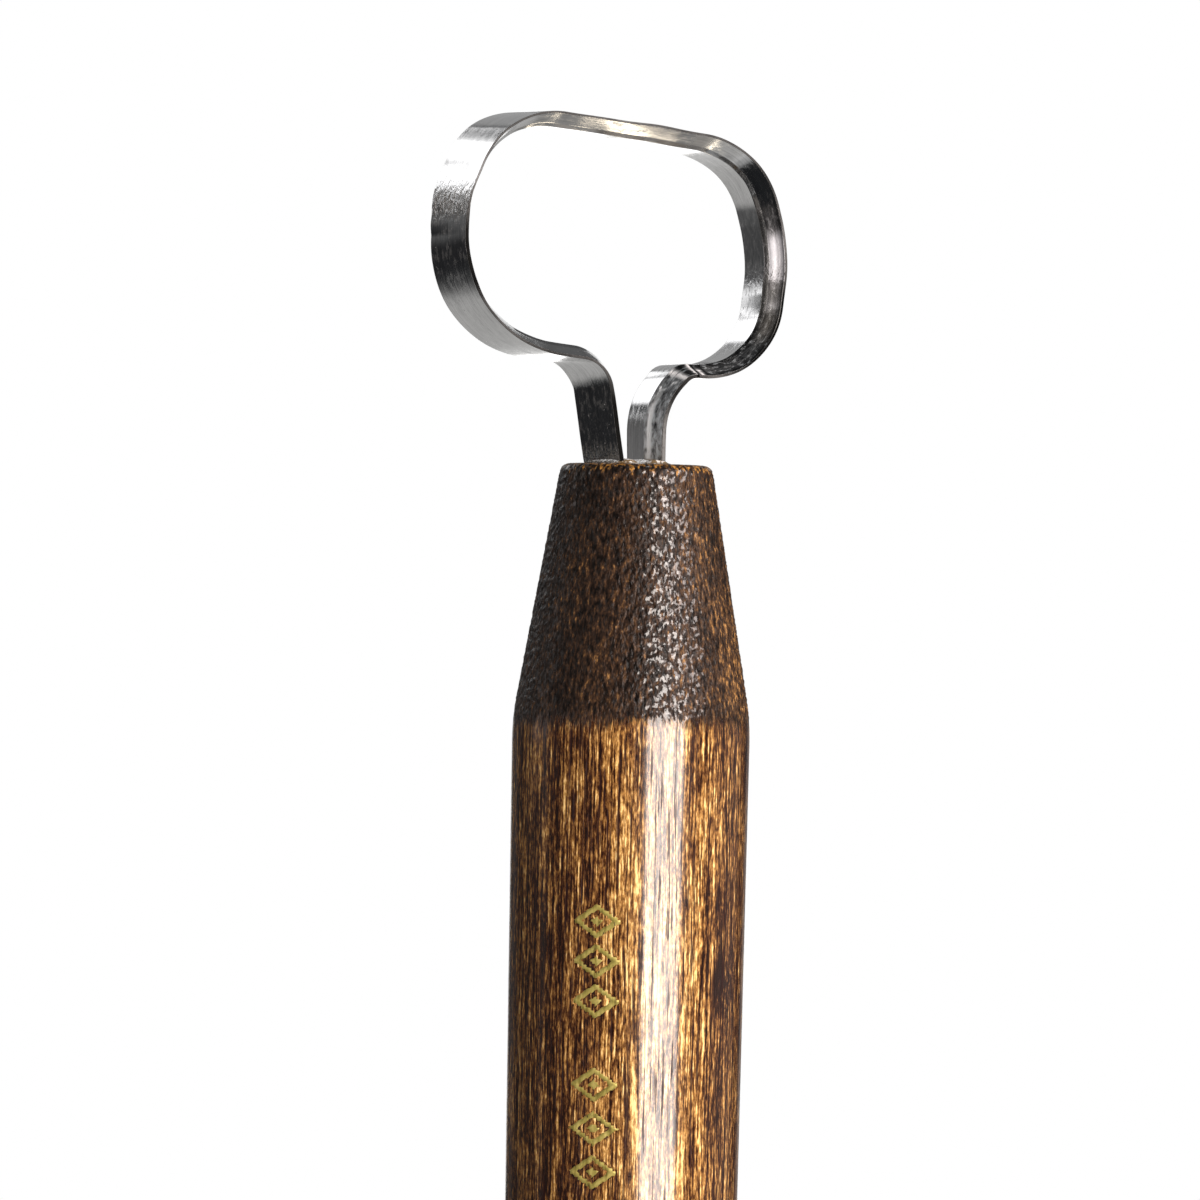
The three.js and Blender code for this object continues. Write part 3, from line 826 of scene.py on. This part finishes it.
def steelMaterial():
    # The uv runs along the strip and round its section, in mm. Across the bevel, share runs from 0 at the
    # edge to 1 at the crease.
    s = Shader(bpy.data.materials.new("ground steel"))
    finish = ribbon["finish"]
    strip = s.add("ShaderNodeUVMap", {"uv_map": "strip"})
    along, across, _ = s.parts(strip)

    def grain(name):
        fineAlong, fineAcross, detail, roughness = finish[name]
        return s.noise(s.scaled(strip, (fineAlong, fineAcross, 1)), 1.0, detail, roughness)

    names = ("lines", "ridges", "blotch", "mottle", "rub", "grit")
    lines, ridges, blotch, mottle, rub, grit = (grain(name) for name in names)
    side, corner, foot = (along.near(*finish[name]) for name in ("wornSide", "wornCorner", "wornFoot"))
    worn = side + corner * 0.4 + foot * 0.5
    pits = (grain("pits") + worn * 0.07).between(0.73, 0.78)

    # where the edge, the bevel and its crest lie
    halfWidth = ribbon["width"] / 2
    edgeEnd = halfWidth + ribbon["edge"]
    bevelEnd = edgeEnd + math.hypot(ribbon["bevel"], ribbon["thickness"] - ribbon["edge"])
    onEdge = across.between(halfWidth - 0.03, halfWidth) * (1 - across.between(edgeEnd - 0.03, edgeEnd))
    onBevel = across.between(edgeEnd, edgeEnd + 0.05)
    onBevel = onBevel * (1 - across.between(bevelEnd - 0.05, bevelEnd + 0.05))
    share = (across - edgeEnd) / (bevelEnd - edgeEnd)
    onLeg = along.between(*finish["leg"])
    paintedCrestLine = share.near(0.47 + onLeg * 0.27 + (blotch - 0.5) * 0.12, onLeg * 0.1 + 0.13)
    onRight = along.between(*finish["right"]) * onBevel
    worked = along.between(*finish["worked"]) * onBevel
    lineStart, lineEnd = [[bevelEnd + place for place in side] for side in finish["rearLineAcross"]]
    rearLine = across.between(*lineStart) * (1 - across.between(*lineEnd))

    # tone of the strip, and of the ground bevel on its right side, which is painted light and shade: brighter
    # away from the edge, a painted highlight on its crest, darker near the crease, over a stretch and at the
    # shadow, times file texture
    tone = 0.5 + (lines - 0.5) * 0.5 + (blotch - 0.5) * 0.3 + (mottle - 0.5) * 0.3
    tone = tone * (1 - rearLine * along.between(*finish["rearLine"]) * 0.4)
    ground = share.between(0.02 - onLeg * 0.3, 0.4 - onLeg * 0.3) * 0.42 + 0.1 + paintedCrestLine * 0.5
    ground = ground - share.between(0.8, 0.93) * (1 - onLeg) * 0.34
    ground = ground * (0.8 + (ridges - 0.5) * 1.6 + (mottle - 0.5) * 0.8 + (grit - 0.5) * 3.6 * worked)
    ground = ground * (1 - along.between(*finish["paintedShadeStretch"]) * (1 - onLeg) * 0.4)
    ground = ground * (1 - along.near(*finish["shadow"]) * 0.4)
    tone = tone * (1 - onRight) + ground * onRight
    # painted light and shade on the front edge, set along its length
    paintedEdgeLight = s.ramp(along / 100, [(level, (value,) * 3) for level, value in finish["paintedEdgeLight"]])
    colour = s.mix(onEdge, s.ramp(tone, finish["tones"]), paintedEdgeLight)

    # folds at the right neck: bumps, with painted glints on the facets and painted dark reflections in the
    # notches
    first, second, third = (along.near(*fold) for fold in finish["glintFacets"])
    glintFacets = (first + second + third * (1 - share.between(0.45, 0.75))) * onBevel * grit.between(0.3, 0.46)
    shadedNotches = sum(along.near(*fold) for fold in finish["shadedNotches"]) * onBevel
    colour = s.mix(shadedNotches, s.mix(glintFacets, colour, finish["glintFacetColour"]), finish["notchShadeColour"])

    # painted highlights where lamps would catch: a line along the leg's crest and glinting specks, beside the
    # real scuffs
    paintedLegLine = paintedCrestLine.between(0.3, 0.9) * along.between(*finish["paintedLegLine"]) * onBevel
    # pale specks at the rub and at the right neck's fold: partly real scratches, partly painted glints
    paintedBright = grain("paintedBright").between(0.6, 0.64)
    paintedBright = paintedBright * along.near(*finish["paintedBrightRub"]).between(0, 0.4) * (1 - onEdge)
    paintedBright = paintedBright + grit.between(0.57, 0.64) * along.near(*finish["paintedBrightFold"]) * onBevel * (1 - glintFacets)
    scuffed = grit.between(0.52, 0.66) * worked * (1 - paintedLegLine) * (1 - glintFacets) * (1 - paintedBright) * 0.5
    colour = s.mix(onLeg * onBevel * (1 - glintFacets), colour, s.scaled(colour, finish["legTint"]))
    colour = s.mix(scuffed, s.mix(paintedLegLine, colour, finish["paintedLegLineColour"]), finish["scuffColour"])
    colour = s.mix(paintedBright, colour, finish["paintedBrightColour"])
    dull = scuffed + glintFacets * 0.95 + paintedLegLine * (1 - paintedBright) * 0.9 + paintedBright * 0.9

    filed = grain("filed") * along.between(*finish["filedFrom"]) * onBevel
    relief = lines * 0.5 - pits * 0.9 + blotch * 0.7 + mottle * 0.25 + ridges * 1.5 * onRight + filed * 3.0
    normal = s.bump(glintFacets - shadedNotches + rub * worn * 4, 0.02, s.bump(relief, 0.0035))
    rough = 0.07 + lines * 0.08 + mottle.between(0.5, 0.62) * 0.1 + pits * 0.15 + onEdge * 0.35
    rough = rough + onRight * 0.06 + onLeg * onBevel * (1 - paintedCrestLine) * 0.22 + glintFacets * 0.3 + filed * 0.3
    topSoft, cornerSoft = (along.near(*place) for place in finish["soft"])
    rough = rough + (topSoft * 0.05 + cornerSoft * 0.28) * onBevel
    return s.finish(Base_Color=colour, Metallic=1 - dull, Roughness=rough, Normal=normal)


# Resin

resin = {
    "radius": 3.03,
    "shift": -0.415,
    "dome": 0.04,
    "climb": 0.26,
    "reach": 0.2,
    "depth": 20.6,
    "pointDepth": 1.6,
    "pale": shade(150, 130, 96),
    "brown": shade(90, 66, 40),
    "paintedGlintColour": shade(236, 234, 228),
}


def makeResin(material):
    # A plug in the drilled hole. Its top is dome * (1 - (r / radius)^2) plus climb * exp(-distance / reach)
    # round each leg, where the distance is to the leg's rectangle.
    angles = np.linspace(0, 2 * math.pi, 120, endpoint=False)
    shares = np.linspace(0, 1, 42)[1:]
    r = shares[:, None] * resin["radius"]
    x, y = r * np.cos(angles) + resin["shift"], r * np.sin(angles) + 0 * r
    z = tip + resin["dome"] * (1 - shares[:, None] ** 2) + 0 * x
    half = ribbon["width"] / 2
    t, (shift, gap) = ribbon["thickness"], ribbon["foot"]
    for side, flare in ((-1, ribbon["flare"]["left"][1]), (1, ribbon["flare"]["right"][1])):
        middle = shift + side * (gap + t) / 2 + side * (y + half) * math.sin(math.radians(flare))
        away = np.hypot(np.maximum(abs(x - middle) - t / 2, 0), np.maximum(abs(y) - half, 0))
        z = z + resin["climb"] * np.exp(-away / resin["reach"]) * (1 - shares[:, None] ** 6)
    top = np.stack([x, y, z], -1)
    wall = np.stack([top[-1] * [1, 1, 0] + [0, 0, tip - depth] for depth in (0.3, 2, 8, resin["depth"])])
    base = np.array([resin["shift"], 0, tip - resin["depth"] - resin["pointDepth"]])
    return closedRings("set_resin", np.concatenate([top, wall]), top[0].mean(0), base, material)


def resinMaterial():
    s = Shader(bpy.data.materials.new("set resin"))
    cloud = s.noise(s.place(), 2.0, 3)
    colour = s.mix(cloud, (*resin["pale"], 1), (*resin["brown"], 1))
    # painted glints: pale flakes in the resin, standing for light caught at its top
    paintedGlintFlakes = s.noise(s.place(), 4.0, 2).between(0.58, 0.64)
    colour = s.mix(paintedGlintFlakes, colour, (*resin["paintedGlintColour"], 1))
    normal = s.bump(s.noise(s.place(), 1.6, 2), 0.06)
    return s.finish(Base_Color=colour, Roughness=0.06 + cloud * 0.1, Normal=normal)


addCamera()
addStudio()
print("studio ready")

pieces = {
    "stained_wood": [makeHandle(woodMaterial()), makeMark(foilMaterial())],
    "ground_steel": [makeRibbon(steelMaterial())],
    "clear_adhesive": [makeResin(resinMaterial())],
}
for slot, made in pieces.items():
    for piece in made:
        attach(piece, "root")
        print(piece.name, len(piece.data.polygons), "faces")
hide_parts("handle")
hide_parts("ribbon_loop")
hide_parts("adhesive")
